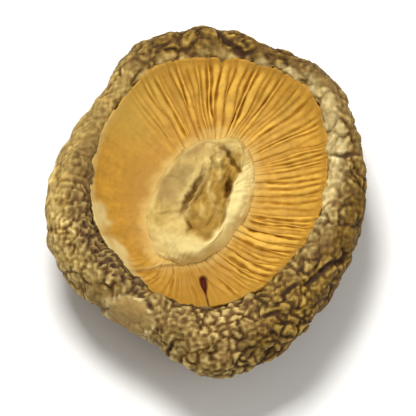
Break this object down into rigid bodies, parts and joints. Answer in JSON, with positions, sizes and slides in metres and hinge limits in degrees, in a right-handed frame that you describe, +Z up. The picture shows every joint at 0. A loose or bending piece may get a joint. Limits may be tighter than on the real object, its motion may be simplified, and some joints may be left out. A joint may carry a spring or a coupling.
{
  "type": "dried shiitake mushroom",
  "caption": "Whole dried shiitake mushroom with a wrinkled cap, an in-rolled rim, gills and the stub of its cut stem, lying on its crown.",
  "frame": {"origin": "middle of the small flat spot under the crown, on the surface that the mushroom lies on", "axes": "+Z up, from the crown to the gills; +X to the right and +Y to the back as the picture shows it"},
  "size_m": [0.0448, 0.0519, 0.0163],
  "materials": {
    "cap_skin": "dry, matt, deeply wrinkled skin",
    "gills": "matt orange papery gills",
    "stem_flesh": "matt cream fibrous flesh"
  },
  "bodies": {
    "root": {"mushroom": "cap_skin"}
  },
  "joints": []
}
